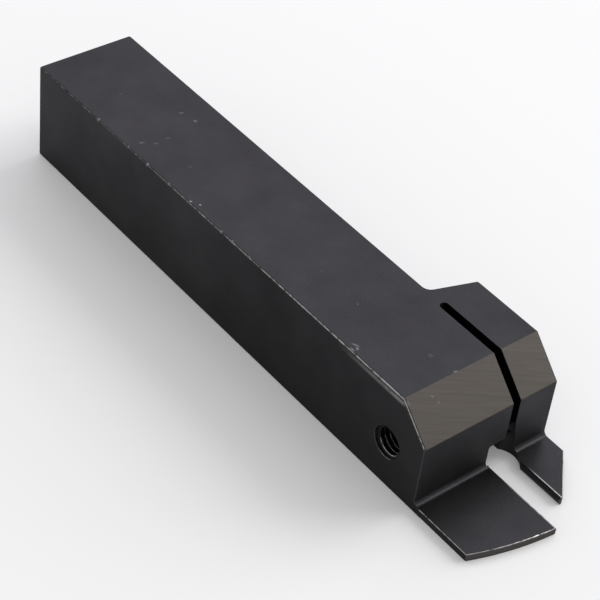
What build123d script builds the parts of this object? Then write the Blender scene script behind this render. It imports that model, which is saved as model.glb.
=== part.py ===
from build123d import *
from math import radians, sqrt, tan
import os

os.makedirs("parts", exist_ok=True)

# External parting and grooving tool holder, 20 x 20 x 125, with its clamp screw.
# It lies on its side: +X points to the cutting end, +Y to the clamping jaw, +Z is up.
# X = 0 is half the overall length, Y = 0 is half the head height, Z = 0 is the side it lies on.

# ---------------------------------------------------------------- driving dimensions, mm
# Shank and head
overall_length = 125.0      # rear face to the foremost point of the blade
shank_height = 20.0         # along Y, seat face to the shank's top
shank_width = 20.0          # along Z
head_length = 20.6          # front face back to the top of the flare
flare_slope = 72.0          # degrees between the shank and the rise to the head
flare_fillet = 1.6          # radius where the rise leaves the shank
flare_corner = 0.5          # radius at the top of the rise
bevel_leg = 6.15            # 45 degree ground bevel along the head's upper front edge
edge_break = 0.4            # radius along the long edges, the rear face and the bevel's sides

# Blade and insert pocket
blade_thickness = 1.65
blade_reach = 16.25         # front face to the foremost point of the blade
blade_front_radius = 58.3   # the blade's front end is an arc in plan
front_centre_rise = 21.5    # seat face to the level of that arc's centre
blade_root_fillet = 0.9
blade_corner = 0.25         # radius at the two corners of the blade's front end
blade_edge_break = 0.2      # radius along the blade's upper outside edges
support_height = 15.75      # seat face to the pocket's floor
pocket_height = 5.3         # pocket floor to clamping edge
jaw_height = 7.75           # clamping edge to the top of the upper jaw
seat_ridge = 0.3            # how far the two V ridges stand into the pocket
ridge_land = 0.12           # flat left along the crest of each ridge
jaw_flat = 4.65             # upper jaw's top, front face to the start of its nose
nose_slope = 45.0           # degrees
nose_radius = 0.45

# Relief behind the pocket, and the slit that lets the upper jaw close
seat_lead = 0.3             # front face to the rear end of the pocket's floor
relief_depth = 4.3          # front face back to the relief's rear wall
relief_width = 6.0          # along Z, up from the resting side
relief_drop = 0.35          # relief floor below the pocket's floor
relief_corner = 0.5
cone_radius = 3.8           # half-round tapered relief under the root of the upper jaw
cone_drop = 2.65            # its centre below the clamping edge
cone_taper = 10.0           # degrees
cone_width = 8.5            # along Z, up from the resting side
slit_width = 1.65
slit_step = 0.4             # slit's upper wall below the clamping edge
slit_length = 19.7          # front face back to the slit's round end

# Clamp screw, M6 socket head, and its hole
screw_setback = 8.0         # front face back to the screw's axis
screw_rise = 8.8            # resting side up to the screw's axis
thread_radius = 3.0         # bore at the thread's major radius
thread_clearance = 0.05     # radial, screw in its thread
mouth_chamfer = 0.1
jaw_hole_radius = 3.3
screw_length = 16.0         # under the head
screw_tip_chamfer = 0.7
head_radius = 5.0
head_thickness = 6.0
head_chamfer = 0.5
head_recess = 0.1           # head's top below the jaw's top
head_clearance = 0.5        # radial, head in its counterbore
socket_flats = 5.0
socket_depth = 3.0
socket_point_angle = 60.0   # degrees, half angle of the socket's conical bottom

# ---------------------------------------------------------------- derived places
rear_x = -overall_length / 2
blade_tip_x = overall_length / 2
face_x = blade_tip_x - blade_reach
head_rear_x = face_x - head_length

head_height = support_height + pocket_height + jaw_height
seat_y = -head_height / 2
shank_top_y = seat_y + shank_height
pocket_floor_y = seat_y + support_height
clamp_edge_y = pocket_floor_y + pocket_height
jaw_top_y = clamp_edge_y + jaw_height
slit_middle_y = clamp_edge_y - slit_step - slit_width / 2

screw_x = face_x - screw_setback
head_top_y = jaw_top_y - head_recess
head_seat_y = head_top_y - head_thickness
screw_tip_y = head_seat_y - screw_length

same_place = 0.01           # two places nearer than this are taken as one


def front_arc_point(y):
    """Point at level y on the arc of the blade's front end."""
    centre_y = seat_y + front_centre_rise
    run_at_floor = sqrt(blade_front_radius**2 - (pocket_floor_y - centre_y) ** 2)
    run = sqrt(blade_front_radius**2 - (y - centre_y) ** 2)
    return (blade_tip_x - run_at_floor + run, y)


# ---------------------------------------------------------------- holder body
# One milled and ground piece of steel: shank, head, blade, pocket, slit and holes.
with BuildPart() as holder_body:
    # Side profile of shank and head, drawn on the side it lies on.
    flare_run = (jaw_top_y - shank_top_y) / tan(radians(flare_slope))
    flare_foot = (head_rear_x - flare_run, shank_top_y)
    flare_top = (head_rear_x, jaw_top_y)
    with BuildSketch() as side_profile:
        with BuildLine():
            Polyline(
                (rear_x, seat_y),
                (face_x, seat_y),
                (face_x, jaw_top_y),
                flare_top,
                flare_foot,
                (rear_x, shank_top_y),
                close=True,
            )
        make_face()
        fillet(side_profile.vertices().sort_by_distance(flare_foot)[0], flare_fillet)
        fillet(side_profile.vertices().sort_by_distance(flare_top)[0], flare_corner)
    extrude(amount=shank_width)

    # Ground bevel along the upper front edge of the head.
    front_face = holder_body.faces().sort_by(Axis.X)[-1]
    chamfer(front_face.edges().sort_by(Axis.Z)[-1], bevel_leg)

    # Thin blade: the support's front end is an arc in plan, the upper jaw has a sloping nose.
    crest_floor_y = pocket_floor_y + seat_ridge
    crest_clamp_y = clamp_edge_y - seat_ridge
    nose_start = (face_x + jaw_flat, jaw_top_y)
    nose_run = (jaw_top_y - crest_clamp_y) / tan(radians(nose_slope))
    nose_tip = (nose_start[0] + nose_run, crest_clamp_y)
    with BuildSketch():
        with BuildLine():
            ThreePointArc(
                front_arc_point(seat_y),
                front_arc_point((seat_y + crest_floor_y) / 2),
                front_arc_point(crest_floor_y),
            )
            Polyline(
                front_arc_point(crest_floor_y),
                nose_tip,
                nose_start,
                (face_x - seat_lead, jaw_top_y),
                (face_x - seat_lead, seat_y),
                front_arc_point(seat_y),
            )
        make_face()
    extrude(amount=blade_thickness)
    cross_edges = holder_body.edges().filter_by(Axis.Y)
    fillet(cross_edges.sort_by_distance((face_x, 0, blade_thickness))[0], blade_root_fillet)

    # Edge breaks on the outside, made before the cuts whose edges stay sharp.
    top_outline = holder_body.faces().sort_by(Axis.Z)[-1].edges().sort_by(Axis.X)[:-1]
    rear_corners = holder_body.faces().sort_by(Axis.X)[0].edges().filter_by(Axis.Z)
    resting_side = holder_body.faces().sort_by(Axis.Z)[0]
    resting_outline = resting_side.edges().filter_by(lambda edge: edge.center().X < face_x)
    bevel_face = holder_body.faces().sort_by_distance((face_x, 0, shank_width))[0]
    bevel_edges = bevel_face.edges().sort_by(Axis.Y)
    bevel_sides = [bevel_edges[0], bevel_edges[-1]]
    fillet(top_outline + rear_corners + resting_outline + bevel_sides, edge_break)

    # Insert pocket, open at the front, then the corners at the front of both jaws.
    pocket_rear_x = face_x + seat_lead
    pocket_cut_height = blade_thickness + blade_root_fillet
    with BuildSketch():
        with BuildLine():
            Polyline(
                (pocket_rear_x, crest_floor_y),
                (blade_tip_x + blade_reach, crest_floor_y),
                (blade_tip_x + blade_reach, crest_clamp_y),
                (pocket_rear_x, crest_clamp_y),
                close=True,
            )
        make_face()
    extrude(amount=pocket_cut_height, mode=Mode.SUBTRACT)
    upright_edges = holder_body.edges().filter_by(Axis.Z)
    fillet(upright_edges.sort_by_distance((*nose_tip, 0))[0], nose_radius)
    for corner in (front_arc_point(seat_y), front_arc_point(crest_floor_y)):
        upright_edges = holder_body.edges().filter_by(Axis.Z)
        fillet(upright_edges.sort_by_distance((*corner, 0))[0], blade_corner)

    # The blade's upper edges are broken too, apart from the two along the pocket.
    def stands_outside(edge):
        """True for an upper edge of the blade that is neither at its root nor on a crest line."""
        middle = edge.center()
        past_root = middle.X > face_x + blade_root_fillet + same_place
        on_crest = min(abs(middle.Y - crest_floor_y), abs(middle.Y - crest_clamp_y)) < same_place
        return abs(middle.Z - blade_thickness) < same_place and past_root and not on_crest

    fillet(holder_body.edges().filter_by(stands_outside), blade_edge_break)

    # Both clamping edges are V ridges: their flanks are cut away above and below the crest.
    crest_low_z = (blade_thickness - ridge_land) / 2
    crest_high_z = (blade_thickness + ridge_land) / 2
    with BuildSketch(Plane.YZ.offset(pocket_rear_x)):
        for wall_y, crest_y in ((pocket_floor_y, crest_floor_y), (clamp_edge_y, crest_clamp_y)):
            with BuildLine():
                Polyline((crest_y, 0), (crest_y, crest_low_z), (wall_y, 0), close=True)
            make_face()
            with BuildLine():
                Polyline(
                    (crest_y, crest_high_z),
                    (wall_y, blade_thickness),
                    (wall_y, pocket_cut_height),
                    (crest_y, pocket_cut_height),
                    close=True,
                )
            make_face()
    extrude(amount=2 * blade_reach, mode=Mode.SUBTRACT)

    # Relief behind the pocket, milled up from the resting side.
    relief_rear_x = face_x - relief_depth
    relief_floor_y = pocket_floor_y - relief_drop
    with BuildSketch() as relief_plan:
        with BuildLine():
            Polyline(
                (relief_rear_x, relief_floor_y),
                (pocket_rear_x, relief_floor_y),
                (pocket_rear_x, clamp_edge_y),
                (relief_rear_x, clamp_edge_y),
                close=True,
            )
        make_face()
        rear_corner = (relief_rear_x, relief_floor_y)
        fillet(relief_plan.vertices().sort_by_distance(rear_corner)[0], relief_corner)
    extrude(amount=relief_width, mode=Mode.SUBTRACT)
    roof_corner = (face_x - relief_depth / 2, relief_floor_y, relief_width)
    fillet(holder_body.edges().filter_by(Axis.X).sort_by_distance(roof_corner)[0], relief_corner)

    # Half-round tapered relief that undercuts the root of the upper jaw.
    cone_centre = (face_x, clamp_edge_y - cone_drop)
    with BuildSketch():
        with Locations(cone_centre):
            Circle(cone_radius)
        split(bisect_by=Plane((*cone_centre, 0), z_dir=(0, 1, 0)))
    extrude(amount=cone_width, taper=cone_taper, mode=Mode.SUBTRACT)

    # Slit with a round end, cut right through from the top to the resting side.
    slit_end_centre_x = face_x - slit_length + slit_width / 2
    with BuildSketch():
        with Locations((slit_end_centre_x, slit_middle_y)):
            Circle(slit_width / 2)
        with Locations((slit_end_centre_x, slit_middle_y - slit_width / 2)):
            Rectangle(
                pocket_rear_x - slit_end_centre_x,
                slit_width,
                align=(Align.MIN, Align.MIN),
            )
    extrude(amount=shank_width, mode=Mode.SUBTRACT)
    slit_corner = (face_x - relief_depth / 2, slit_middle_y - slit_width / 2, relief_width)
    fillet(holder_body.edges().filter_by(Axis.X).sort_by_distance(slit_corner)[0], relief_corner)

    # Tapped hole from the seat face up to the slit.
    with Locations(Plane((screw_x, seat_y, screw_rise), z_dir=(0, -1, 0))):
        CounterSinkHole(
            thread_radius,
            thread_radius + mouth_chamfer,
            depth=slit_middle_y - seat_y,
            counter_sink_angle=90,
        )

    # Clearance hole and counterbore down through the upper jaw.
    with Locations(Plane((screw_x, jaw_top_y, screw_rise), z_dir=(0, 1, 0))):
        CounterBoreHole(
            jaw_hole_radius,
            head_radius + head_clearance,
            counter_bore_depth=jaw_top_y - head_seat_y,
            depth=jaw_top_y - slit_middle_y,
        )

holder_body.part.label = "holder_body"
export_step(holder_body.part, "parts/holder_body.step")


# ---------------------------------------------------------------- clamp screw
# M6 socket head cap screw; its head seats on the upper jaw and its end is in the tapped hole.
with BuildPart() as clamp_screw:
    screw_radius = thread_radius - thread_clearance
    screw_axis = Axis((screw_x, 0, screw_rise), (0, 1, 0))
    screw_plane = Plane((screw_x, 0, screw_rise))
    with BuildSketch(screw_plane):
        with BuildLine():
            Polyline(
                (0, screw_tip_y),
                (screw_radius - screw_tip_chamfer, screw_tip_y),
                (screw_radius, screw_tip_y + screw_tip_chamfer),
                (screw_radius, head_seat_y),
                (head_radius, head_seat_y),
                (head_radius, head_top_y - head_chamfer),
                (head_radius - head_chamfer, head_top_y),
                (0, head_top_y),
                close=True,
            )
        make_face()
    revolve(axis=screw_axis)

    # Hexagon socket with a conical bottom.
    socket_bottom_y = head_top_y - socket_depth
    socket_cone_depth = socket_flats / 2 / tan(radians(socket_point_angle))
    with BuildSketch(Plane((screw_x, head_top_y, screw_rise), z_dir=(0, 1, 0))):
        RegularPolygon(socket_flats / 2, 6, major_radius=False)
    extrude(amount=-socket_depth, mode=Mode.SUBTRACT)
    with BuildSketch(screw_plane):
        with BuildLine():
            Polyline(
                (0, socket_bottom_y),
                (socket_flats / 2, socket_bottom_y),
                (0, socket_bottom_y - socket_cone_depth),
                close=True,
            )
        make_face()
    revolve(axis=screw_axis, mode=Mode.SUBTRACT)

clamp_screw.part.label = "clamp_screw"
export_step(clamp_screw.part, "parts/clamp_screw.step")
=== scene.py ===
# %% [markdown]
# # Dressing a parting tool holder
# The holder is one bar of tool steel, milled to shape, blackened in a hot oxide bath and then ground once
# more on the bevel of its head. Its exact shape comes from the CAD frame, so Blender only has to give it a
# skin. Three things make that skin believable: the black oxide itself, the bare steel where handling has
# rubbed the edges, and the threads, which are far too fine to be worth modelling as solids in CAD.
# We start by loading the frame.

from math import cos, pi, radians, sin

import bmesh
import bpy
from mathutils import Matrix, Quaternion, Vector


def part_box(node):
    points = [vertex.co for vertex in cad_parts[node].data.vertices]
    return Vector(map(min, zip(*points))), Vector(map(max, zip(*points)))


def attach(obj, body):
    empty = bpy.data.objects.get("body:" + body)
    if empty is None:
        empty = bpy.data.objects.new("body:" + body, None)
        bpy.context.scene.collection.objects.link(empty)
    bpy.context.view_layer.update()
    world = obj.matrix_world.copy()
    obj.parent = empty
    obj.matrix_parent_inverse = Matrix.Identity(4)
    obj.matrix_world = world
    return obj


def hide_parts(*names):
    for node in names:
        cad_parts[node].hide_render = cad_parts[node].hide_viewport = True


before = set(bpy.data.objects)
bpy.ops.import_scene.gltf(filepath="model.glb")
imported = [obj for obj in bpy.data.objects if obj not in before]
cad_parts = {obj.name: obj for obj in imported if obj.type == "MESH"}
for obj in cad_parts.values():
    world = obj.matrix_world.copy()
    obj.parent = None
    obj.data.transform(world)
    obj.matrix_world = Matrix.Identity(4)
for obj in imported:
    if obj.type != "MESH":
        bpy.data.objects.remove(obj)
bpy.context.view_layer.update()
mm = 0.001  # Blender works in metres, a toolmaker in millimetres
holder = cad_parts["holder_body"]

# %% [markdown]
# ## Three helpers for every material
# Colours are written as the sRGB hex values that a colour picker shows, but a shader works on linear light.
# One function converts between the two. A second one adds a node: plain values go onto its sockets, while
# sockets get linked, and a node stands for its own first output. So a whole tree reads from top to bottom
# like a recipe. The third one starts a material with an empty tree.


# %% Colour, node and material helpers
def linear(code):
    """The linear RGBA colour of an sRGB hex code such as #46464a."""
    shares = [int(code[i : i + 2], 16) / 255 for i in (1, 3, 5)]
    return (*[s / 12.92 if s <= 0.04045 else ((s + 0.055) / 1.055) ** 2.4 for s in shares], 1.0)


def add_node(tree, kind, inputs=None, **settings):
    """Adds one node: settings are its own fields, inputs are values, or sockets and nodes to link."""
    made = tree.nodes.new(kind)
    for name, value in settings.items():
        setattr(made, name, value)
    for key, value in (inputs or {}).items():
        if isinstance(value, bpy.types.Node):
            value = value.outputs[0]
        if isinstance(value, bpy.types.NodeSocket):
            tree.links.new(value, made.inputs[key])
        else:
            made.inputs[key].default_value = value
    return made


def start_material(name):
    """A new material with this name, and its node tree without the default nodes."""
    made = bpy.data.materials.new(name)
    made.use_nodes = True
    made.node_tree.nodes.clear()
    return made, made.node_tree


print("oxide black in linear light:", [round(v, 4) for v in linear("#434244")])

# %% [markdown]
# ## The black oxide skin
# Hot black oxide turns the outer micrometre of the steel into magnetite. It has no thickness that we could
# see, so it is a colour and a sheen and not a layer: a very dark, faintly blue metal with a satin gloss. The
# cutter marks under it still scatter the light, which we give with a fine grain in the roughness and the
# bump.
# The tree below starts from the object's own coordinates in millimetres, so every pattern has its real size
# and stays on the steel when the camera moves. The normal is split as well, because the way that a spot
# faces tells a flat side from a rounded edge.

# %% Start the oxide material
oxide, tree = start_material("Milled_steel_hot_black_oxide")
coords = add_node(tree, "ShaderNodeTexCoord").outputs
place = add_node(tree, "ShaderNodeVectorMath", {0: coords["Object"], "Scale": 1 / mm}, operation="SCALE")
x, y, z = add_node(tree, "ShaderNodeSeparateXYZ", {0: place}).outputs
facing_x, facing_y, facing_z = add_node(tree, "ShaderNodeSeparateXYZ", {0: coords["Normal"]}).outputs
holder_low, holder_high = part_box("holder_body")
near_face = round(holder_low.y / mm, 3)  # y of the near side, in mm like every place in this tree
top_face = round(holder_high.z / mm, 3)  # z of the upper face
print("near side at y =", near_face, "and upper face at z =", top_face, "mm")

# %% [markdown]
# ### Where the steel was ground
# The bevel was cut after blackening or worn through it, so it is a warmer, greyer metal with grinding lines
# across it. On the bevel x + z is 60.1 mm and everywhere else on the shank and the head it is less, so one
# sum finds it. Only the blade reaches further forward, and as it is less than 2 mm high, a limit on the
# height leaves it out. The lines run down the slope at about 25 degrees, which a Mapping node gives by
# turning and stretching a noise.

# %% Mask and lines of the ground bevel
bevel_plane = 60.1  # x + z on the bevel
bevel_foot = 12.0  # a height a little below the bevel's lower end
line_slant = radians(25)
line_density = (3.2, 0.12, 0.2)  # lines per mm across them, along them and into the steel
plane_sum = add_node(tree, "ShaderNodeMath", {0: x, 1: z}, operation="ADD")
on_plane = add_node(
    tree,
    "ShaderNodeMapRange",
    {0: plane_sum, "From Min": bevel_plane - 0.12, "From Max": bevel_plane - 0.04},
)
above_foot = add_node(tree, "ShaderNodeMath", {0: z, 1: bevel_foot}, operation="GREATER_THAN")
bevel_zone = add_node(tree, "ShaderNodeMath", {0: on_plane, 1: above_foot}, operation="MULTIPLY")
levelled = add_node(tree, "ShaderNodeMapping", {0: place, "Rotation": (0, radians(-45), 0)})
slanted = add_node(tree, "ShaderNodeMapping", {0: levelled, "Rotation": (0, 0, line_slant)})
stretched = add_node(tree, "ShaderNodeMapping", {0: slanted, "Scale": line_density})
grind_lines = add_node(
    tree, "ShaderNodeTexNoise", {"Vector": stretched, "Scale": 1.0, "Detail": 3.0, "Roughness": 0.6}
)
print("grinding lines about", round(1 / line_density[0], 2), "mm apart")

# %% [markdown]
# The mask still holds the small roundings where the bevel meets the two sides. They lean sideways and the
# bevel doesn't, so the sideways part of the normal takes them out again. The curved front of the blade gets
# half of the same ground look. It faces along x, and so does the front face of the head, but that one lies
# further back.

# %% Bevel and blade front as one mask
blade_front_start = 56.0  # x, between the head's front face and the curved front of the blade
sideways = add_node(tree, "ShaderNodeMath", {0: facing_y}, operation="ABSOLUTE")
not_sideways = add_node(tree, "ShaderNodeMapRange", {0: sideways, "From Min": 0.12, "From Max": 0.02})
bevel_face = add_node(tree, "ShaderNodeMath", {0: bevel_zone, 1: not_sideways}, operation="MULTIPLY")
faces_forward = add_node(
    tree, "ShaderNodeMapRange", {0: facing_x, "From Min": 0.75, "From Max": 0.85, "To Max": 0.5}
)
near_tip = add_node(tree, "ShaderNodeMath", {0: x, 1: blade_front_start}, operation="GREATER_THAN")
blade_front = add_node(tree, "ShaderNodeMath", {0: faces_forward, 1: near_tip}, operation="MULTIPLY")
ground_face = add_node(tree, "ShaderNodeMath", {0: bevel_face, 1: blade_front}, operation="MAXIMUM")
print("ground mask ready,", len(tree.nodes), "nodes so far")

# %% [markdown]
# ### Where the edges are rubbed bright
# A holder lives in a drawer with its fellows, and its long edges lose their black first. The CAD rounds them
# with a small radius, and on such a rounding the normal leans between level and upright. So
# 4 * nz^2 * (1 - nz^2) is zero on every level or upright face and one along the middle line of a rounding.
# The same sum with ny finds the roundings that lean sideways. The ridges of the insert's seat lean too, but
# by only 21 degrees. That gives 0.46, which is under the limit that the wear below starts from.

# %% How far the surface leans
rounding_peak = 4.0  # the square times the rest is a quarter at most, so this brings it to one
leans = []
for part_of_normal in (facing_z, facing_y):
    square = add_node(tree, "ShaderNodeMath", {0: part_of_normal, 1: part_of_normal}, operation="MULTIPLY")
    rest = add_node(tree, "ShaderNodeMath", {0: 1.0, 1: square}, operation="SUBTRACT")
    share = add_node(tree, "ShaderNodeMath", {0: square, 1: rest}, operation="MULTIPLY")
    leans.append(add_node(tree, "ShaderNodeMath", {0: share, 1: rounding_peak}, operation="MULTIPLY"))
upright_lean, side_lean = leans
print("two lean masks ready")

# %% [markdown]
# Three places need care. The bevel leans too, and the mask above takes it out. Where the bevel runs into the
# front face, a rounding leans forward. It should show no bright line, so close to the bevel we only keep what
# leans sideways as well. And the fillet at the root of the blade is a hollow that nothing can rub.

# %% Mask of the rounded edges
bevel_start = bevel_plane - top_face  # x where the bevel leaves the upper face
root_middle = 46.75  # x, the middle of the hollow between the front face and the blade
off_bevel = add_node(tree, "ShaderNodeMath", {0: 1.0, 1: bevel_face}, operation="SUBTRACT")
free_edge = add_node(tree, "ShaderNodeMath", {0: upright_lean, 1: off_bevel}, operation="MULTIPLY")
behind_bevel = add_node(tree, "ShaderNodeMath", {0: x, 1: bevel_start}, operation="LESS_THAN")
below_bevel = add_node(tree, "ShaderNodeMath", {0: z, 1: bevel_foot}, operation="LESS_THAN")
away_from_bevel = add_node(tree, "ShaderNodeMath", {0: behind_bevel, 1: below_bevel}, operation="MAXIMUM")
side_limit = add_node(tree, "ShaderNodeMath", {0: side_lean, 1: away_from_bevel}, operation="MAXIMUM")
narrow_edge = add_node(tree, "ShaderNodeMath", {0: free_edge, 1: side_limit}, operation="MINIMUM")
past_root = add_node(tree, "ShaderNodeMath", {0: x, 1: root_middle}, operation="SUBTRACT")
root_distance = add_node(tree, "ShaderNodeMath", {0: past_root}, operation="ABSOLUTE")
off_root = add_node(tree, "ShaderNodeMapRange", {0: root_distance, "From Min": 0.55, "From Max": 0.75})
edge = add_node(tree, "ShaderNodeMath", {0: narrow_edge, 1: off_root}, operation="MULTIPLY")
print("edge mask ready,", len(tree.nodes), "nodes so far")

# %% [markdown]
# ### How much of each edge is rubbed
# The wear isn't even. Along the upper edge on the shank's near side it grows from a few specks at the rear
# to an almost unbroken line at the head, the blade's rim shines all round, and the other edges show a speck
# here and there. We first work out one number, the share of the edge that is bare.

# %% Share of bare steel along the edges
least_share = 0.34  # of an edge that little touches
rub_start, rub_end = 24.0, 37.0  # x, where the near upper edge goes from partly to fully rubbed
near_side = add_node(
    tree, "ShaderNodeMapRange", {0: y, "From Min": near_face + 1.0, "From Max": near_face + 0.5}
)
upper_half = add_node(tree, "ShaderNodeMapRange", {0: z, "From Min": 9.0, "From Max": 12.0})
toward_head = add_node(
    tree, "ShaderNodeMapRange", {0: x, "From Min": -55.0, "From Max": 32.0, "To Min": 0.20, "To Max": 0.80}
)
at_head = add_node(
    tree, "ShaderNodeMapRange", {0: x, "From Min": rub_start, "From Max": rub_end, "To Max": 1.2}
)
on_blade = add_node(tree, "ShaderNodeMapRange", {0: x, "From Min": 46.5, "From Max": 48.0, "To Max": 1.05})
near_upper = add_node(tree, "ShaderNodeMath", {0: near_side, 1: upper_half}, operation="MULTIPLY")
long_edge = add_node(tree, "ShaderNodeMath", {0: near_upper, 1: toward_head}, operation="MULTIPLY")
head_edge = add_node(tree, "ShaderNodeMath", {0: near_upper, 1: at_head}, operation="MULTIPLY")
bare_share = long_edge
for other_share in (on_blade, head_edge, least_share):
    bare_share = add_node(tree, "ShaderNodeMath", {0: bare_share, 1: other_share}, operation="MAXIMUM")
print("least share of an edge that is bare:", least_share)

# %% [markdown]
# A noise then decides which part of the edge it is. The noise and the edge mask are added, so that a strong
# spot reaches further down the rounding than a weak one, and the result is kept to the middle of the
# rounding, because the flat faces beside it are not rubbed.

# %% Broken line along the edges
wear_scale = 0.7  # waves per mm
edge_noise = add_node(
    tree, "ShaderNodeTexNoise", {"Vector": place, "Scale": wear_scale, "Detail": 5.0, "Roughness": 0.7}
)
spread = add_node(tree, "ShaderNodeMapRange", {0: edge_noise, "From Min": 0.30, "From Max": 0.66})
bare_width = add_node(tree, "ShaderNodeMath", {0: spread, 1: bare_share}, operation="MULTIPLY")
reached = add_node(tree, "ShaderNodeMath", {0: edge, 1: bare_width}, operation="ADD")
bare_band = add_node(tree, "ShaderNodeMapRange", {0: reached, "From Min": 1.10, "From Max": 1.45})
on_rounding = add_node(tree, "ShaderNodeMapRange", {0: edge, "From Min": 0.55, "From Max": 0.80})
bare_rounding = add_node(tree, "ShaderNodeMath", {0: bare_band, 1: on_rounding}, operation="MULTIPLY")
print("wear noise about", round(1 / wear_scale, 1), "mm across")

# %% [markdown]
# ### Rims of the insert slot
# The insert slides in between the blade and the nose and scrapes the two sharp edges of its slot. These
# edges have no rounding to find, so a narrow strip of the upward faces beside them is masked by its distance
# from the slot's middle line instead. All of its limits are multiplied: a spot counts only where each of them
# says so. The insert enters from the front, so the rubbing fades toward the head.

# %% Rubbed rims of the insert slot
slot_middle, slot_half = 4.0, 2.65  # y, the middle of the open slot and half its width
rim_near, rim_far = 0.10, 0.24  # how far from the slot's wall the rim starts to fade and ends
from_middle = add_node(tree, "ShaderNodeMath", {0: y, 1: slot_middle}, operation="SUBTRACT")
off_middle = add_node(tree, "ShaderNodeMath", {0: from_middle}, operation="ABSOLUTE")
bare_rim = add_node(
    tree,
    "ShaderNodeMapRange",
    {0: off_middle, "From Min": slot_half + rim_far, "From Max": slot_half + rim_near},
)
facing_up = add_node(tree, "ShaderNodeMath", {0: facing_z, 1: 0.9}, operation="GREATER_THAN")
toward_tip = add_node(tree, "ShaderNodeMapRange", {0: x, "From Min": 50.0, "From Max": 52.5})
broken = add_node(
    tree, "ShaderNodeMapRange", {0: edge_noise, "From Min": 0.38, "From Max": 0.52, "To Min": 0.45}
)
for limit in (facing_up, toward_tip, broken):
    bare_rim = add_node(tree, "ShaderNodeMath", {0: bare_rim, 1: limit}, operation="MULTIPLY")
print("slot rims at y =", slot_middle - slot_half, "and", slot_middle + slot_half, "mm")

# %% [markdown]
# ### A painted highlight on the near side
# By the head, the near side gets a fainter line a little below the edge, a painted highlight where a wider
# edge break would catch the light, drawn in the bare steel colour. It is placed by its height, it grows over
# the same stretch as the wear above it, and it ends at the bevel.

# %% Painted highlight line below the near upper edge
# painted highlight: a light line drawn in the bare steel colour under the near upper edge
line_height = top_face - 0.85
above_line = add_node(tree, "ShaderNodeMath", {0: z, 1: line_height}, operation="SUBTRACT")
off_line = add_node(tree, "ShaderNodeMath", {0: above_line}, operation="ABSOLUTE")
painted_highlight_line = add_node(tree, "ShaderNodeMapRange", {0: off_line, "From Min": 0.60, "From Max": 0.06})
highlight_growth = add_node(
    tree, "ShaderNodeMapRange", {0: x, "From Min": rub_start, "From Max": rub_end, "To Max": 0.42}
)
highlight_end = add_node(
    tree, "ShaderNodeMapRange", {0: x, "From Min": bevel_start + 1.1, "From Max": bevel_start - 0.1}
)
for limit in (near_side, highlight_growth, highlight_end, broken):
    painted_highlight_line = add_node(tree, "ShaderNodeMath", {0: painted_highlight_line, 1: limit}, operation="MULTIPLY")
# the rubbed edges and slot rims, together with the painted highlight line
bare_edge_and_highlight = bare_rounding
for other_edge in (bare_rim, painted_highlight_line):
    bare_edge_and_highlight = add_node(tree, "ShaderNodeMath", {0: bare_edge_and_highlight, 1: other_edge}, operation="MAXIMUM")
print("second line at z =", round(line_height, 2), "mm")

# %% [markdown]
# ### Nicks and scuffs
# A few small marks have broken through the oxide, and one long mark is a painted light patch drawn the same
# way. Each one is an ellipse with a place, a half length, a half width and a turn, and a Mapping node of type
# Texture shrinks it to a unit circle, whose length we can threshold. Most of them lie on the upper face, so
# we list these without a height. The specks on the near upper edge all share one height and one depth too.

# %% List the nicks
top_nicks = [  # x, y, half length, half width in mm, turn in degrees, strength
    (-37.5, -0.5, 0.62, 0.26, 70, 0.13),
    (-34.2, 0.2, 0.42, 0.38, 0, 0.16),
    (-33.9, -11.6, 0.60, 0.28, 75, 0.14),
    (-32.4, -9.6, 0.55, 0.24, 60, 0.10),
    (-32.6, -6.9, 0.60, 0.22, 80, 0.09),
    (-23.9, -8.4, 0.50, 0.20, 70, 0.09),
    (-47.8, -6.5, 0.35, 0.20, 30, 0.08),
    (-14.5, -13.1, 0.26, 0.20, 20, 0.55),
    (-16.1, -13.9, 0.30, 0.24, 40, 0.45),
    (26.7, -12.9, 0.85, 0.20, 25, 0.26),
    (27.5, -13.2, 0.42, 0.28, -30, 0.28),
    (27.2, -14.0, 0.60, 0.20, 10, 0.30),
    (39.9, -3.5, 0.50, 0.16, 80, 0.30),
    (19.4, -6.4, 0.30, 0.25, 0, 0.10),
    (9.9, -6.2, 0.30, 0.22, 0, 0.07),
    (35.0, -4.4, 0.55, 0.45, 0, 0.06),
]
edge_specks = [  # x, half length, half width in mm, strength
    (-43.5, 0.42, 0.28, 0.36),
    (-34.2, 0.30, 0.24, 0.30),
    (-28.4, 0.34, 0.28, 0.48),
    (-22.1, 0.34, 0.22, 0.32),
    (-7.0, 0.30, 0.24, 0.40),
    (-4.0, 0.36, 0.24, 0.40),
    (0.6, 0.30, 0.22, 0.30),
]
speck_y, speck_z = near_face + 0.2, top_face - 0.1  # on the rounding of the near upper edge
nicks = [  # x, y, z, half length, half width in mm, turn in degrees, strength
    (41.3, -9.3, 18.8, 0.45, 0.12, 60, 0.22),  # the first two are scratches high on the bevel
    (42.2, -8.6, 17.9, 0.60, 0.12, 15, 0.20),
    (54.5, 6.65, 0.1, 5.00, 0.40, 0, 0.16),  # a long painted light patch at the foot of the nose's inner wall
]
nicks += [(nick_x, nick_y, top_face, *others) for nick_x, nick_y, *others in top_nicks]
nicks += [(nick_x, speck_y, speck_z, *halves, 0, strength) for nick_x, *halves, strength in edge_specks]
print(len(nicks), "nicks listed")

# %% [markdown]
# A real nick is a torn crater and not a printed dot, so a noise is taken off against the distance from its
# middle before the threshold. The strongest mark wins at each spot, which is what MAXIMUM does.

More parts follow.
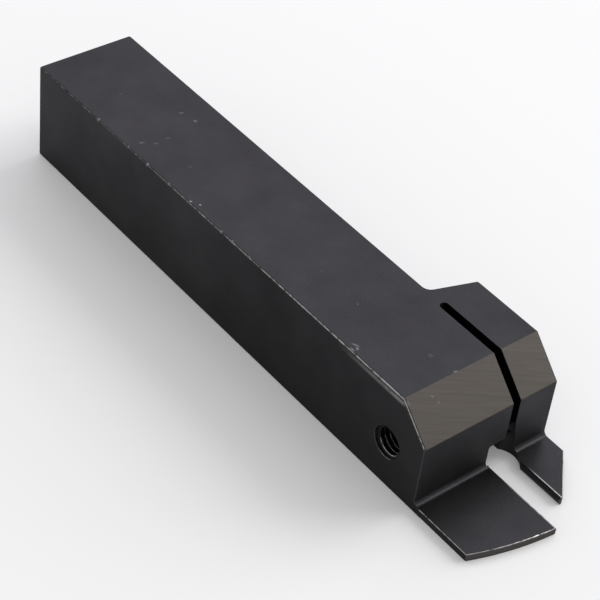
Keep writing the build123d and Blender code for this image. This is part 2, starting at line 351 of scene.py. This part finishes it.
# %% Place the nicks
nick_noise = add_node(
    tree, "ShaderNodeTexNoise", {"Vector": place, "Scale": 4.5, "Detail": 3.0, "Roughness": 0.7}
)
bare_steel_and_painted_light = bare_edge_and_highlight
for nick_x, nick_y, nick_z, half_length, half_width, turn, strength in nicks:
    spot = add_node(
        tree,
        "ShaderNodeMapping",
        {
            0: place,
            "Location": (nick_x, nick_y, nick_z),
            "Rotation": (0, 0, radians(turn)),
            "Scale": (half_length, half_width, half_width * 2),
        },
        vector_type="TEXTURE",
    )
    radius = add_node(tree, "ShaderNodeVectorMath", {0: spot}, operation="LENGTH").outputs["Value"]
    torn = add_node(tree, "ShaderNodeMath", {0: nick_noise, 1: radius}, operation="SUBTRACT")
    # the same threshold also draws the painted light patch on the nose's inner wall
    bare = add_node(
        tree, "ShaderNodeMapRange", {0: torn, "From Min": -0.55, "From Max": 0.05, "To Max": strength}
    )
    bare_steel_and_painted_light = add_node(tree, "ShaderNodeMath", {0: bare_steel_and_painted_light, 1: bare}, operation="MAXIMUM")
print(len(nicks), "nicks placed,", len(tree.nodes), "nodes so far")

# %% [markdown]
# ### Mottling and grain
# Two more noises finish the oxide. A slow one, some 9 mm across, is the faint cloudiness of a surface that
# has been oiled and handled. A fast one is the bead-like grain of the bath. The real grain is a few
# hundredths of a millimetre and would vanish in the picture, so it is drawn 0.4 mm across, as coarse as it
# needs to show.

# %% Mottling and grain
mottle_scale, grain_scale = 0.11, 2.5  # waves per mm
noise_range = {"From Min": 0.3, "From Max": 0.7}  # nearly all of a noise's values lie in here
mottle = add_node(
    tree, "ShaderNodeTexNoise", {"Vector": place, "Scale": mottle_scale, "Detail": 3.0, "Roughness": 0.55}
)
grain = add_node(
    tree, "ShaderNodeTexNoise", {"Vector": place, "Scale": grain_scale, "Detail": 3.0, "Roughness": 0.7}
)
tone = add_node(tree, "ShaderNodeMapRange", {0: mottle, **noise_range})
oxide_colour = add_node(
    tree, "ShaderNodeMix", {0: tone, 6: linear("#3f3e40"), 7: linear("#474648")}, data_type="RGBA"
).outputs[2]
grain_shift = add_node(tree, "ShaderNodeMapRange", {0: grain, **noise_range, "To Min": 0.88, "To Max": 1.12})
oxide_grained = add_node(
    tree, "ShaderNodeVectorMath", {0: oxide_colour, "Scale": grain_shift}, operation="SCALE"
)
line_tone = add_node(tree, "ShaderNodeMapRange", {0: grind_lines, **noise_range})
ground_colour = add_node(
    tree, "ShaderNodeMix", {0: line_tone, 6: linear("#5b5753"), 7: linear("#645f5b")}, data_type="RGBA"
).outputs[2]
print("mottling", round(1 / mottle_scale), "mm and grain", round(1 / grain_scale, 1), "mm across")

# %% [markdown]
# ### Painted light and shade on the faces
# A dark metal is drawn by what it mirrors, and a simple studio doesn't give every face the right thing to
# mirror. So light and shade are painted into the oxide: painted shade darkens the sides toward the head,
# the front face gets painted light and a higher roughness, and painted shade darkens the blade's root hollow.
# These numbers were chosen for the lamps below, aren't a property of black oxide, and other lamps need
# others.

# %% Painted shade on the sides and the root, painted light on the front
side_shade_start, side_shade_end = -20.0, 5.0  # x, where the painted shade on the sides begins and where it is darkest
# painted shade: the sides are drawn darker toward the head
painted_head_shade = add_node(
    tree,
    "ShaderNodeMapRange",
    {0: x, "From Min": side_shade_start, "From Max": side_shade_end, "To Min": 0.94, "To Max": 0.68},
)
painted_side_shade = add_node(
    tree,
    "ShaderNodeMapRange",
    {0: sideways, "From Min": 0.8, "From Max": 0.95, "To Min": 1.0, "To Max": painted_head_shade},
)
front_face = add_node(tree, "ShaderNodeMapRange", {0: facing_x, "From Min": 0.8, "From Max": 0.95})
# painted light: the front face is drawn lighter
painted_front_light = add_node(tree, "ShaderNodeMapRange", {0: front_face, "To Min": 1.0, "To Max": 1.12})
# painted shade in the hollow at the blade's root
painted_root_shade = add_node(
    tree, "ShaderNodeMapRange", {0: root_distance, "From Min": 0.25, "From Max": 0.45, "To Min": 0.8}
)
painted_light_and_shade = painted_side_shade
for other_painted_tone in (painted_front_light, painted_root_shade):
    painted_light_and_shade = add_node(tree, "ShaderNodeMath", {0: painted_light_and_shade, 1: other_painted_tone}, operation="MULTIPLY")
# the oxide with its painted light and shade
oxide_with_painted_light = add_node(
    tree, "ShaderNodeVectorMath", {0: oxide_grained, "Scale": painted_light_and_shade}, operation="SCALE"
)
print("sides darken from x =", side_shade_start, "to", side_shade_end, "mm")

# %% [markdown]
# ### Putting the oxide together
# The three colours are laid over one another: oxide with its painted light and shade, then the ground faces,
# then bare steel where it is rubbed, which also carries the painted highlight line and the painted light
# patch.
# The roughness follows the same masks, because rubbed steel is polished while ground steel is matt.
# A metal keeps the default IOR, as its base colour already says how much it reflects. Bare metal turns
# mirror-like at a glancing angle, but the porous oxide doesn't, so a grey specular tint halves that.

# %% Colour of the oxide
with_ground = add_node(
    tree, "ShaderNodeMix", {0: ground_face, 6: oxide_with_painted_light, 7: ground_colour}, data_type="RGBA"
).outputs[2]
# bare steel colour for the worn spots, the painted highlight line and the painted light patch
with_wear_and_painted_light = add_node(
    tree, "ShaderNodeMix", {0: bare_steel_and_painted_light, 6: with_ground, 7: linear("#c3c0be")}, data_type="RGBA"
).outputs[2]
print("colour laid over in two steps")

# %% Roughness and bump of the oxide
front_roughness, ground_roughness, bare_roughness = 0.55, 0.46, 0.34
gloss = add_node(tree, "ShaderNodeMapRange", {0: grain, **noise_range, "To Min": 0.36, "To Max": 0.42})
for mask, roughness in (
    (front_face, front_roughness),
    (ground_face, ground_roughness),
    (bare_steel_and_painted_light, bare_roughness),
):
    gloss = add_node(tree, "ShaderNodeMix", {0: mask, 2: gloss, 3: roughness}, data_type="FLOAT")
relief = add_node(tree, "ShaderNodeMix", {0: bevel_face, 2: grain, 3: grind_lines}, data_type="FLOAT")
bump = add_node(tree, "ShaderNodeBump", {"Strength": 0.25, "Distance": 0.02 * mm, "Height": relief})
oxide_shader = add_node(
    tree,
    "ShaderNodeBsdfPrincipled",
    {
        "Base Color": with_wear_and_painted_light,
        "Roughness": gloss,
        "Metallic": 1.0,
        "Specular Tint": (0.5, 0.5, 0.5, 1.0),
        "Normal": bump,
    },
)
add_node(tree, "ShaderNodeOutputMaterial", {"Surface": oxide_shader})
for material_slot in holder.material_slots:
    material_slot.material = oxide
print("oxide tree has", len(tree.nodes), "nodes, on", len(holder.material_slots), "slot of the holder")

# %% [markdown]
# ## Coordinates round the screw
# The screw and its tapped hole share one axis, and both of their materials need to know how far a spot is
# from it. A Mapping node of type Texture moves the origin onto the axis and counts in millimetres. With the
# part along the axis taken out, the length of what is left is that distance.

# %% Axis of the screw
screw_low, screw_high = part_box("clamp_screw")
axis_x, axis_z = (screw_low.x + screw_high.x) / 2, (screw_low.z + screw_high.z) / 2


def round_the_axis(tree):
    """Coordinates in mm with their origin on the screw's axis, and the distance from that axis."""
    own = add_node(tree, "ShaderNodeTexCoord").outputs["Object"]
    centred = add_node(
        tree,
        "ShaderNodeMapping",
        {0: own, "Location": (axis_x, 0, axis_z), "Scale": (mm, mm, mm)},
        vector_type="TEXTURE",
    )
    across = add_node(tree, "ShaderNodeVectorMath", {0: centred, 1: (1.0, 0.0, 1.0)}, operation="MULTIPLY")
    distance = add_node(tree, "ShaderNodeVectorMath", {0: across}, operation="LENGTH")
    return centred, distance.outputs["Value"]


print("screw axis at x, z in mm:", round(axis_x / mm, 2), round(axis_z / mm, 2))

# %% [markdown]
# ## The clamp screw's finish
# The screw is a heat-treated socket cap screw. Its thread is rolled and not cut, and its head is upset cold
# and often trimmed on a lathe, which leaves faint rings round the axis. It is blackened like the holder and
# oiled, so it is a little glossier and bluer. A noise of the distance from the axis gives the rings.

# %% Screw material
rolled, tree = start_material("Rolled_screw_steel_oiled_black_oxide")
centred, from_axis = round_the_axis(tree)
rings = add_node(
    tree, "ShaderNodeTexNoise", {"W": from_axis, "Scale": 5.0, "Detail": 2.0}, noise_dimensions="1D"
)
smudge = add_node(tree, "ShaderNodeTexNoise", {"Vector": centred, "Scale": 0.6, "Detail": 3.0})
screw_colour = add_node(
    tree, "ShaderNodeMix", {0: smudge, 6: linear("#434449"), 7: linear("#56575d")}, data_type="RGBA"
).outputs[2]
screw_gloss = add_node(tree, "ShaderNodeMapRange", {0: rings, **noise_range, "To Min": 0.26, "To Max": 0.36})
ring_bump = add_node(tree, "ShaderNodeBump", {"Strength": 0.2, "Distance": 0.01 * mm, "Height": rings})
rolled_shader = add_node(
    tree,
    "ShaderNodeBsdfPrincipled",
    {"Base Color": screw_colour, "Roughness": screw_gloss, "Metallic": 1.0, "Normal": ring_bump},
)
add_node(tree, "ShaderNodeOutputMaterial", {"Surface": rolled_shader})
print("screw tree has", len(tree.nodes), "nodes")

# %% [markdown]
# ## The tapped hole's finish
# The hole was tapped before the oxide bath, so its thread came out black, and the screw has polished the
# crests since. That leaves oxide in the roots and rubbed steel at the crests, and the distance from the axis
# says which. The roots are drawn darker than the holder's oxide, as painted shade in the bore. Only the
# crests on the lower side are drawn bright, as painted glints, and those above keep the dark root colour as
# painted shade. That is a choice made for the look: with every crest bright all round, so small a hole would
# glitter like a spring.

# %% Tapped thread material
crest_start, crest_end = 2.64, 2.52  # mm from the axis, the crest points inwards
tapped, tree = start_material("Tapped_steel_rubbed_crests_painted_light")
centred, from_axis = round_the_axis(tree)
crest = add_node(tree, "ShaderNodeMapRange", {0: from_axis, "From Min": crest_start, "From Max": crest_end})
height_in_bore = add_node(tree, "ShaderNodeSeparateXYZ", {0: centred}).outputs[2]
# painted glints: only the crests on the lower side of the bore are drawn bright
painted_glint_side = add_node(
    tree, "ShaderNodeMapRange", {0: height_in_bore, "From Min": -1.0, "From Max": -2.1, "To Min": 0.02}
)
chatter = add_node(tree, "ShaderNodeTexNoise", {"Vector": centred, "Scale": 1.6, "Detail": 3.0})
patchy = add_node(
    tree, "ShaderNodeMapRange", {0: chatter, "From Min": 0.35, "From Max": 0.62, "To Min": 0.25}
)
rubbed_crest_and_glint = crest
for limit in (painted_glint_side, patchy):
    rubbed_crest_and_glint = add_node(tree, "ShaderNodeMath", {0: rubbed_crest_and_glint, 1: limit}, operation="MULTIPLY")
# the dark root colour is painted shade in the bore; the bright colour is rubbed steel and painted glints
tapped_colour_with_painted_light = add_node(
    tree, "ShaderNodeMix", {0: rubbed_crest_and_glint, 6: linear("#201f20"), 7: linear("#cfcbc6")}, data_type="RGBA"
).outputs[2]
tapped_gloss = add_node(tree, "ShaderNodeMix", {0: rubbed_crest_and_glint, 2: 0.42, 3: 0.24}, data_type="FLOAT")
tapped_shader = add_node(
    tree,
    "ShaderNodeBsdfPrincipled",
    {"Base Color": tapped_colour_with_painted_light, "Roughness": tapped_gloss, "Metallic": 1.0},
)
add_node(tree, "ShaderNodeOutputMaterial", {"Surface": tapped_shader})
print("crests shine from", crest_start, "to", crest_end, "mm off the axis")

# %% [markdown]
# ## Helpers for Geometry Nodes
# Two small trees make what repeats round the screw: its threads and its knurl. Both start with named inputs,
# and both end alike: the shape is laid down along Y, the screw's axis, moved to its place, realized and given
# its material. So a start and an end are written once.
# A tree only becomes part of the object once it is a plain mesh. The last helper hangs a tree on an empty
# mesh, sets the inputs by their identifiers before anything is evaluated, copies the result out and drops
# the carrier.


# %% Start and end of a tree
def start_tree(name, sockets):
    """A Geometry Nodes tree with these inputs: the tree, the inputs' identifiers and their sockets."""
    made = bpy.data.node_groups.new(name, "GeometryNodeTree")
    identifiers = {
        label: made.interface.new_socket(label, in_out="INPUT", socket_type="NodeSocket" + kind).identifier
        for label, kind in sockets.items()
    }
    made.interface.new_socket("Geometry", in_out="OUTPUT", socket_type="NodeSocketGeometry")
    return made, identifiers, add_node(made, "NodeGroupInput").outputs


def end_tree(tree, shape, place, material):
    """Lays a shape down along Y, moves it to its place, realizes it and gives it its material."""
    laid = add_node(
        tree,
        "GeometryNodeTransform",
        {"Geometry": shape, "Rotation": (radians(-90), 0, 0), "Translation": place},
    )
    real = add_node(tree, "GeometryNodeRealizeInstances", {0: laid})
    coated = add_node(tree, "GeometryNodeSetMaterial", {"Geometry": real, "Material": material})
    add_node(tree, "NodeGroupOutput", {0: coated})


print("start and end of a tree ready")


# %% From a tree to a plain mesh
def mesh_from_tree(name, tree, identifiers, values):
    """Runs a Geometry Nodes tree with these input values and gives back its result as a mesh object."""
    carrier = bpy.data.objects.new(name + "_carrier", bpy.data.meshes.new(name + "_carrier"))
    bpy.context.scene.collection.objects.link(carrier)
    nodes_modifier = carrier.modifiers.new("tree", "NODES")
    nodes_modifier.node_group = tree
    for input_name, value in values.items():
        nodes_modifier[identifiers[input_name]] = value
    carrier.update_tag()
    bpy.context.view_layer.update()
    graph = bpy.context.evaluated_depsgraph_get()
    mesh = bpy.data.meshes.new_from_object(carrier.evaluated_get(graph))
    bpy.data.objects.remove(carrier)
    mesh.name = name
    made = bpy.data.objects.new(name, mesh)
    bpy.context.scene.collection.objects.link(made)
    return made


print("mesh helper ready")

# %% [markdown]
# ## Threads from one tree
# A thread is a small trapezium carried round a helix. One tree makes both threads here, the screw's own
# ridge, which points outwards, and the ridge inside the tapped hole, which points inwards. Its named inputs
# are the sizes in a thread table: pitch, turns, the radii where the ridge starts and ends, and how wide it is
# at each. Blender's spiral climbs along Z as a left-hand thread. Its Reverse input makes it the usual
# right-hand one.

# %% Build the thread tree
thread_tree, thread_inputs, given = start_tree(
    "thread_ridge",
    {
        "Pitch": "Float",
        "Turns": "Float",
        "Inner radius": "Float",
        "Outer radius": "Float",
        "Inner width": "Float",
        "Outer width": "Float",
        "Start": "Vector",
        "Material": "Material",
    },
)
radii = {0: given["Outer radius"], 1: given["Inner radius"]}
ridge_height = add_node(thread_tree, "ShaderNodeMath", radii, operation="SUBTRACT")
radius_sum = add_node(thread_tree, "ShaderNodeMath", radii, operation="ADD")
middle_radius = add_node(thread_tree, "ShaderNodeMath", {0: radius_sum, 1: 0.5}, operation="MULTIPLY")
helix_length = add_node(
    thread_tree, "ShaderNodeMath", {0: given["Pitch"], 1: given["Turns"]}, operation="MULTIPLY"
)
helix = add_node(
    thread_tree,
    "GeometryNodeCurveSpiral",
    {
        "Resolution": 40,
        "Rotations": given["Turns"],
        "Start Radius": middle_radius,
        "End Radius": middle_radius,
        "Height": helix_length,
        "Reverse": True,
    },
)
level_helix = add_node(thread_tree, "GeometryNodeSetCurveNormal", {"Curve": helix}, mode="Z_UP")
trapezium = add_node(
    thread_tree,
    "GeometryNodeCurvePrimitiveQuadrilateral",
    {
        "Height": ridge_height,
        "Bottom Width": given["Outer width"],
        "Top Width": given["Inner width"],
        "Offset": 0.0,
    },
    mode="TRAPEZOID",
)
standing = add_node(
    thread_tree, "GeometryNodeTransform", {"Geometry": trapezium, "Rotation": (0, 0, radians(90))}
)
ridge = add_node(
    thread_tree,
    "GeometryNodeCurveToMesh",
    {"Curve": level_helix, "Profile Curve": standing, "Fill Caps": True},
)
end_tree(thread_tree, ridge, given["Start"], given["Material"])
print("thread tree has", len(thread_tree.nodes), "nodes")

# %% [markdown]
# The thread in the hole fills what the screw leaves open: from just inside the mouth to a little before the
# screw's tip. Both ends come from the frame, so the number of turns follows from them.

# %% Run the tree for the tapped hole
pitch = 1.0 * mm  # M6 coarse thread
mouth_gap, tip_gap = 0.02 * mm, 0.3 * mm
tapped_start = holder_low.y + mouth_gap
tapped_turns = (screw_low.y - tip_gap - tapped_start) / pitch - 1
tapped_thread = mesh_from_tree(
    "tapped_thread",
    thread_tree,
    thread_inputs,
    {
        "Pitch": pitch,
        "Turns": tapped_turns,
        "Inner radius": 2.50 * mm,
        "Outer radius": 3.04 * mm,
        "Inner width": 0.22 * mm,
        "Outer width": 0.80 * mm,
        "Start": (axis_x, tapped_start + pitch / 2, axis_z),
        "Material": tapped,
    },
)
print("tapped thread:", round(tapped_turns, 2), "turns,", len(tapped_thread.data.polygons), "faces")

# %% [markdown]
# ## The clamp screw
# The screw pulls the upper jaw down on the insert. It is a solid of revolution with a hexagon sunk into its
# head, so we build it ring by ring: every ring has 48 points, a round one at one radius and a hexagonal one
# at the radius of a hexagon in that direction. As all rings have as many points, each pair joins up with
# plain four-sided faces, and even the step from round to hexagon needs no boolean.

# %% Rings of the screw
ring_points = 48
socket_half = 2.5 * mm  # half across the flats of the 5 mm socket
socket_depth = 3.0 * mm
floor_cone = 0.9 * mm  # depth of the shallow cone under the hexagon
head_height, head_radius = 6.0 * mm, 4.86 * mm  # the knurl stands out to the full 5 mm
shank_radius, core_radius = 2.95 * mm, 2.45 * mm
head_top, screw_tip = screw_high.y, screw_low.y
head_seat = head_top - head_height


def ring_radius(radius, angle):
    """The radius in this direction: a number for a round ring, or the word hexagon for the socket."""
    if radius == "hexagon":
        return socket_half / cos(angle % (pi / 3) - pi / 6)
    return radius


screw_rings = [  # radius and level along the axis, from the tip to the floor of the socket
    (1.75 * mm, screw_tip),
    (core_radius, screw_tip + 0.7 * mm),
    (core_radius, head_seat - 1.0 * mm),
    (shank_radius, head_seat - 0.6 * mm),
    (shank_radius, head_seat - 0.15 * mm),
    (3.1 * mm, head_seat),
    (4.65 * mm, head_seat),
    (head_radius, head_seat + 0.2 * mm),
    (head_radius, head_top - 0.55 * mm),
    (4.72 * mm, head_top - 0.22 * mm),
    (4.40 * mm, head_top - 0.03 * mm),
    (4.20 * mm, head_top),
    (3.02 * mm, head_top),
    ("hexagon", head_top - 0.28 * mm),
    ("hexagon", head_top - socket_depth),
]
print("screw from", round(screw_tip / mm, 2), "to", round(head_top / mm, 2), "mm along its axis")

# %% Build the screw's solid
screw_shape = bmesh.new()
loops = []
for radius, level in screw_rings:
    loop = []
    for index in range(ring_points):
        angle = 2 * pi * index / ring_points
        reach = ring_radius(radius, angle)
        spot = (axis_x + reach * sin(angle), level, axis_z + reach * cos(angle))
        loop.append(screw_shape.verts.new(spot))
    loops.append(loop)
tip_centre = screw_shape.verts.new((axis_x, screw_tip, axis_z))
socket_floor = screw_shape.verts.new((axis_x, head_top - socket_depth - floor_cone, axis_z))
for index in range(ring_points):
    after = (index + 1) % ring_points
    screw_shape.faces.new((tip_centre, loops[0][index], loops[0][after]))
    screw_shape.faces.new((socket_floor, loops[-1][after], loops[-1][index]))
    for lower, upper in zip(loops, loops[1:]):
        screw_shape.faces.new((lower[index], upper[index], upper[after], lower[after]))
bmesh.ops.recalc_face_normals(screw_shape, faces=screw_shape.faces)
screw_mesh = bpy.data.meshes.new("clamp_cap_screw")
screw_shape.to_mesh(screw_mesh)
screw_shape.free()
screw_mesh.materials.append(rolled)
print("screw solid:", len(screw_mesh.polygons), "faces")

# %% [markdown]
# The head's side is knurled so that fingers can start the screw. That is one small rib repeated all the way
# round, which is the plainest use of Geometry Nodes: points on a circle, an instance on each, realized and
# given its material. A cylinder with only four sides is a rib with a sharp crest. The sizes are named inputs
# again.

# %% Build the knurl tree
knurl_tree, knurl_inputs, given = start_tree(
    "knurled_side",
    {
        "Rib count": "Int",
        "Rib radius": "Float",
        "Rib length": "Float",
        "Head radius": "Float",
        "Middle": "Vector",
        "Material": "Material",
    },
)
circle = add_node(
    knurl_tree, "GeometryNodeMeshCircle", {"Vertices": given["Rib count"], "Radius": given["Head radius"]}
)
rib = add_node(
    knurl_tree,
    "GeometryNodeMeshCylinder",
    {"Vertices": 4, "Radius": given["Rib radius"], "Depth": given["Rib length"]},
)
ribs = add_node(knurl_tree, "GeometryNodeInstanceOnPoints", {"Points": circle, "Instance": rib})
end_tree(knurl_tree, ribs, given["Middle"], given["Material"])
print("knurl tree has", len(knurl_tree.nodes), "nodes")

# %% Thread and knurl of the screw
screw_turns = 13.6
screw_thread = mesh_from_tree(
    "screw_thread",
    thread_tree,
    thread_inputs,
    {
        "Pitch": pitch,
        "Turns": screw_turns,
        "Inner radius": 2.42 * mm,
        "Outer radius": 2.94 * mm,
        "Inner width": 0.84 * mm,
        "Outer width": 0.14 * mm,
        "Start": (axis_x, screw_tip + pitch, axis_z),
        "Material": rolled,
    },
)
knurl_middle = head_seat + 2.85 * mm
head_knurl = mesh_from_tree(
    "head_knurl",
    knurl_tree,
    knurl_inputs,
    {
        "Rib count": 60,
        "Rib radius": 0.13 * mm,
        "Rib length": 5.0 * mm,
        "Head radius": head_radius,
        "Middle": (axis_x, knurl_middle, axis_z),
        "Material": rolled,
    },
)
print("faces of thread and knurl:", len(screw_thread.data.polygons), len(head_knurl.data.polygons))

# %% [markdown]
# The solid, its thread and its knurl turn together, so they are joined into one mesh. It takes the place of
# the plain CAD screw and rides on the screw's body. The ridge in the hole rides on the holder. Every edge
# sharper than 32 degrees stays sharp, and the rest is shaded smooth.

# %% Join the screw and hang it on its body
sharp_angle = radians(32)
joined = bmesh.new()
for mesh in (screw_mesh, screw_thread.data, head_knurl.data):
    joined.from_mesh(mesh)
joined.to_mesh(screw_mesh)
joined.free()
for spare in (screw_thread, head_knurl):
    bpy.data.objects.remove(spare)
for mesh in (screw_mesh, tapped_thread.data):
    mesh.shade_smooth()
    mesh.set_sharp_from_angle(angle=sharp_angle)
cap_screw = bpy.data.objects.new("clamp_cap_screw", screw_mesh)
bpy.context.scene.collection.objects.link(cap_screw)
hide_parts("clamp_screw")
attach(cap_screw, "screw")
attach(tapped_thread, "holder")
print("cap screw:", len(screw_mesh.polygons), "faces in all")

# %% [markdown]
# ## A plain pale floor
# The holder rests on its blade side at z = 0. The floor is a single wide sheet of white card, matt, so that
# it sends light back up without showing a picture of the tool. The lamps alone would leave it a pale grey,
# so what the camera and mirroring surfaces see of it glows a little. That brightens the card and not the
# tool, and the tool's shadow stays on it.

# %% Make the floor
floor_half = 1.5  # metres
corners = [(-1, -1), (1, -1), (1, 1), (-1, 1)]
floor_mesh = bpy.data.meshes.new("floor_card")
floor_mesh.from_pydata([(floor_half * u, floor_half * v, 0) for u, v in corners], [], [(0, 1, 2, 3)])
floor = bpy.data.objects.new("floor_card", floor_mesh)
bpy.context.scene.collection.objects.link(floor)
print("floor is", 2 * floor_half, "m wide")

# %% Card material
glow_strength = 0.12
card, tree = start_material("Matt_white_card")
rays = add_node(tree, "ShaderNodeLightPath").outputs
seen = rays["Is Camera Ray"]
for kind_of_ray in ("Is Glossy Ray", "Is Transmission Ray"):
    seen = add_node(tree, "ShaderNodeMath", {0: seen, 1: rays[kind_of_ray]}, operation="MAXIMUM")
glow = add_node(tree, "ShaderNodeMath", {0: seen, 1: glow_strength}, operation="MULTIPLY")
card_shader = add_node(
    tree,
    "ShaderNodeBsdfPrincipled",
    {
        "Base Color": linear("#f6f6f6"),
        "Roughness": 0.9,
        "Specular IOR Level": 0.2,
        "Emission Color": (1.0, 1.0, 1.0, 1.0),
        "Emission Strength": glow,
    },
)
add_node(tree, "ShaderNodeOutputMaterial", {"Surface": card_shader})
floor_mesh.materials.append(card)
print("card tree has", len(tree.nodes), "nodes")

# %% [markdown]
# ## Soft studio light
# A dark metal shows its lights more than its own colour, so each large face gets a light to look at. The
# upper face mirrors what is behind and to the left, the bevel mirrors what is behind and to the right. The
# key light comes from behind, so the near face and the front face look at the holder's own shadow on the card
# and stay dark.
# A lamp's power is worked out from the brightness that we want its face to have: area times pi times that
# brightness, so that 1 is the brightness of white.

# %% World and lamp helper
world_level = 0.54
world = bpy.data.worlds.new("studio")
bpy.context.scene.world = world
world.use_nodes = True
background = world.node_tree.nodes["Background"].inputs
background["Color"].default_value = (1, 1, 1, 1)
background["Strength"].default_value = world_level


def soft_lamp(name, toward, distance, size, brightness, colour=(1.0, 1.0, 1.0)):
    """Hangs a square soft box in this direction from the holder, facing it. Lengths are in metres."""
    data = bpy.data.lights.new(name, "AREA")
    data.color = colour
    data.shape = "SQUARE"
    data.size = size
    data.energy = brightness * pi * size * size
    lamp = bpy.data.objects.new(name, data)
    direction = Vector(toward).normalized()
    lamp.location = direction * distance
    lamp.rotation_mode = "QUATERNION"
    lamp.rotation_quaternion = (-direction).to_track_quat("-Z", "Y")
    bpy.context.scene.collection.objects.link(lamp)
    return lamp


print("world level", world_level)

# %% Hang the two lamps
cool_white = (0.94, 0.92, 1.08)
lamp_distance = 2.0
lamps = [
    soft_lamp("box_behind_left", (-0.70, 0.46, 0.58), lamp_distance, 1.7, 0.78, cool_white),
    soft_lamp("box_behind_right", (0.20, 0.87, 0.55), lamp_distance, 1.55, 3.2),
]
print("lamp powers in W:", [round(lamp.data.energy, 1) for lamp in lamps])

# %% [markdown]
# ## The camera
# The view is from the front right and above, along a long lens, with the camera leaning a few degrees to one
# side. We point it first and then lean it: the lean is a turn about its own line of sight.

# %% Place the camera
stand = Vector((182.263, -172.031, 222.942)) * mm
aim = Vector((5.303, -5.941, 10.0)) * mm
lean_left = radians(7.254)
camera_data = bpy.data.cameras.new("camera")
camera_data.sensor_width, camera_data.lens = 36.0, 114.786  # mm
camera_data.clip_start, camera_data.clip_end = 0.01, 20.0  # metres
camera = bpy.data.objects.new("camera", camera_data)
bpy.context.scene.collection.objects.link(camera)
camera.location = stand
camera.rotation_mode = "QUATERNION"
camera.rotation_quaternion = (aim - stand).to_track_quat("-Z", "Y") @ Quaternion((0, 0, 1), lean_left)
bpy.context.scene.camera = camera
bpy.context.scene.view_settings.view_transform = "Standard"
print("camera is", round((aim - stand).length / mm), "mm from its aim")
